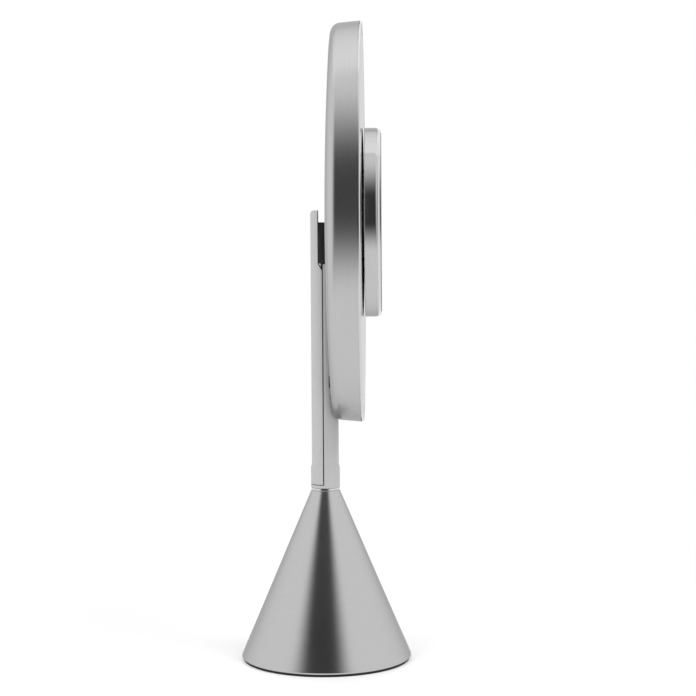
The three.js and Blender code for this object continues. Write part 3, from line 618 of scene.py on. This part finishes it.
def bright_ring():
    low, high = height_span("stem_ring")
    radius = radius_of("stem_ring")
    piece = turned(rounded([
        (ROD_HOLE, low), (radius, low, 0.15), (radius - RING_DRAFT, high, 0.15), (ROD_HOLE, high),
    ]), True)
    finished("stem_foot_ring", piece, "stand", "stem_ring", "polished")


def pivot_rod(radius, half, sides=64):
    """A rod on the hinge's axis, reaching equally far to both sides."""
    return rod_mesh(
        radius, (-half, PIVOT_FORWARD, PIVOT_HEIGHT), (half, PIVOT_FORWARD, PIVOT_HEIGHT), sides,
    )


def bracket():
    """The neck over the stem with the hinge's eye, the sleeve inside the stem and the lead's groove."""
    low = height_span("hinge_bracket")[0]
    half = span("hinge_bracket", 0)[1]
    back, top, eye_low = -3.5, PIVOT_HEIGHT + GAP, PIVOT_HEIGHT - EYE_RADIUS
    sleeve_radius, sleeve_wall, sleeve_top = STEM_INSIDE - GAP, 1.6, STEM_TOP + 3 * GAP
    groove_half, groove_depth = 1.2, 2.4
    neck = combined(
        box_mesh(-half, half, back, STEM_RADIUS, STEM_TOP + GAP, top),
        ("INTERSECT", rod_mesh(STEM_RADIUS - GAP, (0, 0, STEM_TOP), (0, 0, top), SIDES)),
    )
    hollow = rod_mesh(sleeve_radius - sleeve_wall, (0, 0, low - OVER), (0, 0, sleeve_top + OVER), SIDES)
    sleeve = combined(
        rod_mesh(sleeve_radius, (0, 0, low), (0, 0, sleeve_top), SIDES),
        ("DIFFERENCE", hollow),
        ("DIFFERENCE", box_mesh(-FAR, FAR, -FAR, -TONGUE, low - OVER, sleeve_top + OVER)),
    )
    shape = combined(
        neck,
        ("UNION", box_mesh(-half, half, back, PIVOT_FORWARD, eye_low, top)),
        ("UNION", pivot_rod(EYE_RADIUS, half, 96)),
        ("UNION", sleeve),
        ("DIFFERENCE", pivot_rod(PIN_HOLE, FAR)),
        ("DIFFERENCE", box_mesh(
            -groove_half, groove_half, back - OVER, back + groove_depth, STEM_TOP, eye_low,
        )),
    )
    finished("hinge_bracket_casting", bevelled(shape, 0.15), "stand", "hinge_bracket", "black_steel")


# Head

def dome_forward(radius, offset):
    """How far forward the dome of the head's back lies at a distance from the head's axis."""
    drop = math.sqrt(DOME_SPHERE * DOME_SPHERE - radius * radius)
    return HEAD_BACK + offset + DOME_SPHERE - drop


def head_outside(inset, front, steps=24, corner_steps=12):
    """Back dome, rounded corner and drafted side of the head, from the axis out to the front."""
    corner_centre = HEAD_BACK + HEAD_DOME + HEAD_CORNER
    corner = HEAD_CORNER - inset
    radii = [DOME_RADIUS * step / steps for step in range(steps + 1)]
    outline = [(radius, dome_forward(radius, inset)) for radius in radii]
    first = math.asin(DOME_RADIUS / DOME_SPHERE) - math.pi / 2
    for step in range(1, corner_steps + 1):
        angle = first * (1 - step / corner_steps)
        outline.append((DOME_RADIUS + corner * math.cos(angle), corner_centre + corner * math.sin(angle)))
    draft = HEAD_DRAFT * (front - corner_centre) / (HEAD_FRONT - corner_centre)
    outline.append((HEAD_RADIUS - HEAD_DRAFT - inset + draft, front))
    return outline


def channel_room(grow):
    """The room for the stem in the head's back: a round channel below and a square pocket on top."""
    radius = CHANNEL_RADIUS + grow
    low = PIVOT_HEIGHT - POCKET_BELOW - grow
    high = PIVOT_HEIGHT + POCKET_TOP + grow
    outside = 2 * HEAD_RADIUS
    return combined(
        rod_mesh(radius, (0, 0, -outside), (0, 0, low + OVER), SIDES),
        ("UNION", box_mesh(-radius, radius, -outside, POCKET_FLOOR + grow, low, high)),
        ("UNION", box_mesh(-radius, radius, -outside, 0, -outside, low + OVER)),
    )


def housing():
    front = HEAD_FRONT - LIP_SIDE - LIP_SEAM
    inside = list(reversed(head_outside(HEAD_WALL, front, 12, 8)))
    across, height = button_place()
    shell = combined(
        turned(head_outside(0, front) + inside, False, PIVOT_HEIGHT, HEAD_SIDES),
        ("DIFFERENCE", channel_room(LINER_WALL + GAP)),
        ("DIFFERENCE", rod_mesh(BUTTON_RADIUS + GAP, (across, -OVER, height), (across, front, height))),
    )
    finished("head_dish", shell, "head", "head_housing", "nickel_forward")


def liner():
    front = HEAD_FRONT - 3
    trough = combined(
        channel_room(LINER_WALL),
        ("INTERSECT", turned(head_outside(GAP, front) + [(0, front)], False, PIVOT_HEIGHT)),
        ("DIFFERENCE", channel_room(0)),
        ("DIFFERENCE", pivot_rod(PIN_HOLE, FAR)),
    )
    finished("stem_channel_trough", trough, "head", "channel_liner", "black_plastic")


def front_lip():
    """The bright ring round the head's front, with a skirt that sits inside the dish."""
    back, front = forward_span("trim_ring")
    inner, face = HEAD_RADIUS - LIP_WIDTH, front - LIP_SIDE
    skirt_inside, skirt_outside = HEAD_RADIUS - 3.2, HEAD_RADIUS - 1.9
    chamfer = 0.6
    piece = turned(rounded([
        (inner, face), (skirt_inside, face), (skirt_inside, back), (skirt_outside, back),
        (skirt_outside, face), (HEAD_RADIUS, face, 0.1), (HEAD_RADIUS, front - chamfer, 0.06),
        (HEAD_RADIUS - chamfer, front, 0.06), (inner, front, 0.4),
    ]), False, PIVOT_HEIGHT, HEAD_SIDES)
    finished("front_lip", piece, "head", "trim_ring", "polished")


def opal_panel():
    """The pale front panel: a thin rim held behind the lip, and a face with a slight crown."""
    back, front = forward_span("diffuser")
    rim, face = radius_of("diffuser"), HEAD_RADIUS - LIP_WIDTH - GAP
    rim_front, crown, steps = back + 0.9, 1.0, 16
    radii = [face + (POST_HOLE - face) * step / steps for step in range(1, steps + 1)]
    crowned = [(radius, front + crown * (1 - (radius / face) ** 2)) for radius in radii]
    piece = turned(rounded([
        (POST_HOLE, back), (rim, back), (rim, rim_front), (face, rim_front), (face, front, 0.3), *crowned,
    ]), False, PIVOT_HEIGHT, HEAD_SIDES)
    finished("opal_panel", piece, "head", "diffuser", "opal")


# Small mirror

def curve_radius(forward):
    """The small mirror's radius where its side curves in towards the front."""
    rise = (forward - CURVE_BACK) / CURVE_DEPTH
    return MIRROR_RADIUS - CURVE_INSET * (1 - math.sqrt(1 - rise * rise))


def mirror_curve(start, end):
    steps = 8
    places = [start + (end - start) * step / steps for step in range(steps + 1)]
    return [(curve_radius(forward), forward) for forward in places]


def mirror_shell():
    """The small mirror's metal pan: its back is painted black, as painted shade of the gap behind it."""
    inside, floor_front = MIRROR_RADIUS - MIRROR_WALL, MIRROR_BACK + MIRROR_WALL
    piece = turned(rounded([
        (SCREW_HOLE, MIRROR_BACK), (MIRROR_RADIUS, MIRROR_BACK, 0.35),
        *mirror_curve(CURVE_BACK, SHELL_FRONT),
        (curve_radius(SHELL_FRONT) - MIRROR_WALL, SHELL_FRONT),
        (inside, CURVE_BACK), (inside, floor_front), (SCREW_HOLE, floor_front),
    ]), False, PIVOT_HEIGHT)
    finished(
        "small_mirror_pan", piece, "head", "mirror_shell", "nickel_fine",
        # painted shade: the faces looking back get the black that stands for the shaded gap
        "painted_gap_shade", lambda face: face.normal.y > 0.9,
    )


def mirror_bezel():
    """The bright ring round the glass: it goes on with the pan's curve and ends in a straight edge."""
    back, front = forward_span("mirror_bezel")
    foot, edge_back = SHELL_FRONT + GAP, front - 0.6
    inner, skirt = curve_radius(front) - 0.65, MIRROR_RADIUS - 2 * MIRROR_WALL
    ledge = inner - GAP - 1
    piece = turned(rounded([
        (ledge, back), (skirt, back), (skirt, foot), *mirror_curve(foot, edge_back),
        (curve_radius(edge_back), front, 0.1), (inner, front, 0.15), (inner, foot), (ledge, foot),
    ]), False, PIVOT_HEIGHT)
    finished("small_mirror_bezel", piece, "head", "mirror_bezel", "polished")


def mirror_gasket():
    back, front = forward_span("mirror_gasket")
    outer = radius_of("mirror_gasket")
    inner = outer - 1
    piece = turned(rounded([
        (inner, back), (outer, back), (outer, front, 0.3), (inner, front, 0.3),
    ]), False, PIVOT_HEIGHT)
    finished("small_mirror_gasket", piece, "head", "mirror_gasket", "rubber")


def mirror_glass():
    """The silvered glass, slightly hollow so that it enlarges."""
    front = forward_span("mirror_glass")[1]
    radius = radius_of("mirror_glass")
    thickness, dish, steps = 2.4, 1.6, 32
    shares = [step / steps for step in range(steps + 1)]
    face = [(radius * share, front - dish * (1 - share * share)) for share in shares]
    back = [(r, forward - thickness) for r, forward in face]
    piece = turned(back + list(reversed(face)), False, PIVOT_HEIGHT, HEAD_SIDES)
    finished("small_mirror_glass", piece, "head", "mirror_glass", "silvered")


# Button, hinge hardware and cells

def button_place():
    """The button's middle, as its distance across and its height."""
    return sum(span("power_button", 0)) / 2, sum(height_span("power_button")) / 2


def power_button():
    """A slightly hollow cap with a flange that keeps it in the head, and a stalk onto the switch."""
    across, height = button_place()
    back, front = forward_span("power_button")
    hollow, hollow_radius = 0.25, 1.6
    flange, flange_radius, stalk_radius = back + 3.2, BUTTON_RADIUS + 1.2, 1.3
    outline = rounded([
        (0, back + hollow), (hollow_radius, back + 0.4 * hollow), (BUTTON_RADIUS, back, 0.7),
        (BUTTON_RADIUS, flange), (flange_radius, flange), (flange_radius, flange + 1),
        (stalk_radius, flange + 1), (stalk_radius, front), (0, front),
    ])
    piece = turned(outline, False, height, 96)
    piece.transform(Matrix.Translation((across * MM, 0, 0)))
    finished("power_button_cap", piece, "button", "power_button", "rubber")


def cells():
    """Three dry cells: a sleeve round each, and bare steel at both ends."""
    nub_radius, nub_height, sleeve_lap = 1.9, 1, 1
    for number in (1, 2, 3):
        node = f"cell_{number}"
        low, high = height_span(node)
        radius, shoulder = radius_of(node), high - nub_height
        piece = turned(rounded([
            (0, low), (radius - 1.2, low), (radius, low, 0.4), (radius, shoulder, 0.5),
            (radius - 1.6, shoulder), (nub_radius, shoulder + 0.1), (nub_radius, high, 0.3), (0, high),
        ]), True, sides=96)
        bare = (radius - sleeve_lap) * MM
        finished(
            f"dry_cell_{number}", piece, "stand", node, "sleeve",
            "steel", lambda face: face.center.xy.length < bare,
        )


def washers():
    """The hinge's two friction washers, turned upright and then swung onto the hinge's axis."""
    upright_to_across = Matrix(((0, 0, 1, 0), (1, 0, 0, 0), (0, 1, 0, 0), (0, 0, 0, 1)))
    centre = Matrix.Translation(Vector((0, -PIVOT_FORWARD, PIVOT_HEIGHT)) * MM)
    for side in ("right", "left"):
        node = f"friction_washer_{side}"
        left, right = span(node, 0)
        piece = turned(rounded([
            (PIN_HOLE, left), (EYE_RADIUS, left, 0.2), (EYE_RADIUS, right, 0.2), (PIN_HOLE, right),
        ]), True, sides=64)
        piece.transform(centre @ upright_to_across)
        finished(f"washer_{side}", piece, "head", node, "black_plastic")


# Finishes of the solids that stay as the CAD made them

def numbered(name, count):
    return [f"{name}_{number}" for number in range(1, count + 1)]


CAD_FINISHES = {
    "steel": [
        "base_plate", *numbered("base_screw", 3), "tie_rod", "tie_washer", "tie_nut",
        "contact_spring", "contact_top",
        "hinge_ear_right", "hinge_ear_left", *numbered("ear_screw", 4), "hinge_pin", "hinge_clip",
        *numbered("carrier_screw", 3), *numbered("board_screw", 2),
        "mirror_post", *numbered("post_screw", 3), "mirror_screw",
    ],
    "iron": ["base_ballast"],
    "black_plastic": ["battery_tray", "spacer_ring", "tact_switch"],
    "white_plastic": ["carrier_plate", "reflector_sheet", "led_ring"],
    "clear": ["light_guide"],
    "board": ["control_board"],
    "foam": ["mirror_pad"],
    "lead": ["stem_lead", "head_lead"],
}


def dress_cad_nodes():
    for material, names in CAD_FINISHES.items():
        for name in names:
            data = frame["nodes"][name].data
            data.materials.clear()
            data.materials.append(MATERIALS[material])


def keep_base_out_of_reflections():
    """The head's underside is pale in the photograph, so the base isn't mirrored in it."""
    inside = ["base_plate", *numbered("base_screw", 3), "base_ballast", "tie_rod", "tie_washer", "tie_nut"]
    pieces = [bpy.data.objects[name] for name in ("cone_shell", "foot_pad_rubber", "stem_foot_ring")]
    pieces += [frame["nodes"][name] for name in inside]
    for piece in pieces:
        piece.visible_glossy = False


# Studio

def camera():
    """The photograph's view: from the mirror's right side, a little in front and above."""
    distance, rise, turn, roll = 1.13, 0.0685, math.radians(1.32), math.radians(-0.35)
    target = Vector((0, -0.015, 0.2005))
    place = target + Vector((-distance * math.cos(turn), -distance * math.sin(turn), rise))
    data = bpy.data.cameras.new("camera")
    data.sensor_width = 36
    data.lens = 91.35
    made = put("camera", data)
    look = (target - place).to_track_quat("-Z", "Y").to_matrix().to_4x4()
    made.matrix_world = Matrix.Translation(place) @ look @ Matrix.Rotation(roll, 4, "Z")
    bpy.context.scene.camera = made


def floor():
    """A pale floor that reads as the white background but keeps the object's soft shadow near it."""
    half_size, shadow_reach, white_from, lift = 40, 0.12, 0.5, 0.1
    made = bmesh.new()
    bmesh.ops.create_grid(made, x_segments=1, y_segments=1, size=half_size)
    mesh = mesh_from(made)
    material, tree, output = new_material("pale_floor")
    path = add_node(tree, "ShaderNodeLightPath").outputs
    place = add_node(tree, "ShaderNodeTexCoord").outputs["Object"]
    distance = add_node(
        tree, "ShaderNodeVectorMath", {"operation": "LENGTH"}, {0: place},
    ).outputs["Value"]
    far = add_node(
        tree, "ShaderNodeMapRange", {"interpolation_type": "SMOOTHSTEP"},
        {"Value": distance, "From Min": shadow_reach, "From Max": white_from},
    ).outputs[0]
    matt = add_node(tree, "ShaderNodeBsdfDiffuse", None, {"Color": linear("#F4F4F4")}).outputs[0]
    glow, white = [
        add_node(
            tree, "ShaderNodeEmission", None, {"Color": linear("#FFFFFF"), "Strength": strength},
        ).outputs[0]
        for strength in (lift, 1.0)
    ]
    lifted = add_node(tree, "ShaderNodeAddShader", None, {0: matt, 1: glow}).outputs[0]
    shown = add_node(tree, "ShaderNodeMixShader", None, {0: far, 1: lifted, 2: white}).outputs[0]
    direct = add_node(
        tree, "ShaderNodeMixShader", None, {0: path["Is Camera Ray"], 1: matt, 2: shown},
    ).outputs[0]
    mirrored = add_node(
        tree, "ShaderNodeMath", {"operation": "MAXIMUM"},
        {0: path["Is Glossy Ray"], 1: path["Is Transmission Ray"]},
    ).outputs[0]
    mixed = add_node(tree, "ShaderNodeMixShader", None, {0: mirrored, 1: direct, 2: white}).outputs[0]
    tree.links.new(mixed, output.inputs["Surface"])
    mesh.materials.append(material)
    put("floor", mesh)


def reflection_card(name, mesh, material):
    """A card of the studio that only reflections see."""
    mesh.materials.append(material)
    card = put(name, mesh)
    card.visible_camera = False
    card.visible_diffuse = False
    card.visible_shadow = False
    card.visible_transmission = False


def flat_card(name, place, tilt, half_size, brightness):
    """A square white card at a place, tilted from lying flat by an angle about the forward axis."""
    made = bmesh.new()
    stand = Matrix.Translation(place) @ Matrix.Rotation(math.radians(tilt), 4, "Y")
    bmesh.ops.create_grid(made, x_segments=1, y_segments=1, size=half_size, matrix=stand)
    material, tree, output = new_material(name)
    shader = add_node(
        tree, "ShaderNodeEmission", None, {"Color": linear("#FFFFFF"), "Strength": brightness},
    )
    tree.links.new(shader.outputs[0], output.inputs["Surface"])
    reflection_card(name, mesh_from(made), material)


def dark_card_mesh(eye):
    """A piece of a sphere round the eye, folded forward along the floor."""
    radius, half_turn, low, high, step = 2.0, 60, -46, 82, 2
    fold_below, above_floor = -7, 0.004
    made = bmesh.new()
    rows = []
    for up in range(low, high + 1, step):
        row = []
        for across in range(-half_turn, half_turn + 1, step):
            turn, rise = math.radians(across), math.radians(up)
            level = math.cos(rise)
            ray = Vector((-math.cos(turn) * level, math.sin(turn) * level, math.sin(rise)))
            reach = radius if up > fold_below else min(radius, (eye.z - above_floor) / -ray.z)
            row.append(made.verts.new(eye + ray * reach))
        rows.append(row)
    for below, above in zip(rows, rows[1:]):
        for a, b, c, d in zip(below, below[1:], above[1:], above):
            made.faces.new((a, b, c, d))
    return mesh_from(made)


def dark_card():
    """A dark flag behind the camera, which only reflections see: it draws the metal's dark bands.

    It fades to white at its sides, above and below, by angles in degrees as seen from the mirror.
    """
    eye = Vector((0, 0, 0.25))
    centre_turn, darkest = math.radians(5), 0.055
    material, tree, output = new_material("dark_card")
    place = add_node(tree, "ShaderNodeTexCoord").outputs["Object"]
    seen = add_node(
        tree, "ShaderNodeVectorMath", {"operation": "SUBTRACT"}, {0: place, 1: tuple(eye)},
    ).outputs[0]
    ray = add_node(tree, "ShaderNodeVectorMath", {"operation": "NORMALIZE"}, {0: seen}).outputs[0]
    parts = add_node(tree, "ShaderNodeSeparateXYZ", None, {0: ray}).outputs
    away = add_node(tree, "ShaderNodeMath", {"operation": "MULTIPLY"}, {0: parts["X"], 1: -1.0}).outputs[0]
    turn = add_node(tree, "ShaderNodeMath", {"operation": "ARCTAN2"}, {0: parts["Y"], 1: away}).outputs[0]
    aside = add_node(
        tree, "ShaderNodeMath", {"operation": "SUBTRACT"}, {0: turn, 1: centre_turn},
    ).outputs[0]
    side = add_node(tree, "ShaderNodeMath", {"operation": "ABSOLUTE"}, {0: aside}).outputs[0]
    rise = add_node(tree, "ShaderNodeMath", {"operation": "ARCSINE"}, {0: parts["Z"]}).outputs[0]
    light = 0.0
    for angle, dark_to, white_from in ((side, 18, 48), (rise, 30, 80), (rise, 0, -32)):
        faded = add_node(
            tree, "ShaderNodeMapRange", {"interpolation_type": "SMOOTHSTEP"},
            {"Value": angle, "From Min": math.radians(dark_to), "From Max": math.radians(white_from)},
        ).outputs[0]
        light = add_node(tree, "ShaderNodeMath", {"operation": "MAXIMUM"}, {0: light, 1: faded}).outputs[0]
    strength = add_node(
        tree, "ShaderNodeMath", {"operation": "MULTIPLY_ADD"}, {0: light, 1: 1 - darkest, 2: darkest},
    ).outputs[0]
    shader = add_node(
        tree, "ShaderNodeEmission", None, {"Color": linear("#FFFFFF"), "Strength": strength},
    )
    tree.links.new(shader.outputs[0], output.inputs["Surface"])
    reflection_card("dark_card", dark_card_mesh(eye), material)


def soft_box(name, place, size, power):
    """A round lamp, aimed at the object's middle, that reflections don't show."""
    middle = Vector((0, 0, 0.2))
    data = bpy.data.lights.new(name, "AREA")
    data.shape = "DISK"
    data.size = size
    data.energy = power
    made = put(name, data)
    made.location = place
    made.rotation_euler = (middle - Vector(place)).to_track_quat("-Z", "Y").to_euler()
    made.visible_glossy = False


def world():
    """White to the camera and in reflections, and a softer fill for all other light."""
    made = bpy.data.worlds.new("studio")
    bpy.context.scene.world = made
    made.use_nodes = True
    tree = made.node_tree
    tree.nodes.clear()
    output = add_node(tree, "ShaderNodeOutputWorld")
    path = add_node(tree, "ShaderNodeLightPath").outputs
    seen = add_node(
        tree, "ShaderNodeMath", {"operation": "MAXIMUM"},
        {0: path["Is Camera Ray"], 1: path["Is Glossy Ray"]},
    ).outputs[0]
    either = add_node(
        tree, "ShaderNodeMath", {"operation": "MAXIMUM"}, {0: seen, 1: path["Is Transmission Ray"]},
    ).outputs[0]
    fill, white = [
        add_node(
            tree, "ShaderNodeBackground", None, {"Color": linear("#FFFFFF"), "Strength": strength},
        ).outputs[0]
        for strength in (0.7, 1.0)
    ]
    mixed = add_node(tree, "ShaderNodeMixShader", None, {0: either, 1: fill, 2: white}).outputs[0]
    tree.links.new(mixed, output.inputs["Surface"])


def studio():
    bpy.context.scene.view_settings.view_transform = "Standard"
    world()
    floor()
    dark_card()
    # Overhead, for the light tops of the rims
    flat_card("top_card", (0.75, 0, 1.5), 0, 0.75, 1.3)
    # Behind the object, for the faces that the camera sees almost edge-on
    flat_card("grey_card", (1.3, -0.06, 0.3), 90, 0.3, 0.68)
    soft_box("key_soft_box", (-0.9, -1.3, 1.9), 1.4, 16)
    soft_box("fill_soft_box", (-1.2, 1.4, 1.3), 1.4, 14)
    soft_box("back_soft_box", (1.4, 0.2, 1.6), 1.2, 8)


camera()
cone_base()
foot()
stem()
rear_cover()
bright_ring()
bracket()
housing()
liner()
front_lip()
opal_panel()
mirror_shell()
mirror_bezel()
mirror_gasket()
mirror_glass()
power_button()
cells()
washers()
dress_cad_nodes()
keep_base_out_of_reflections()
studio()
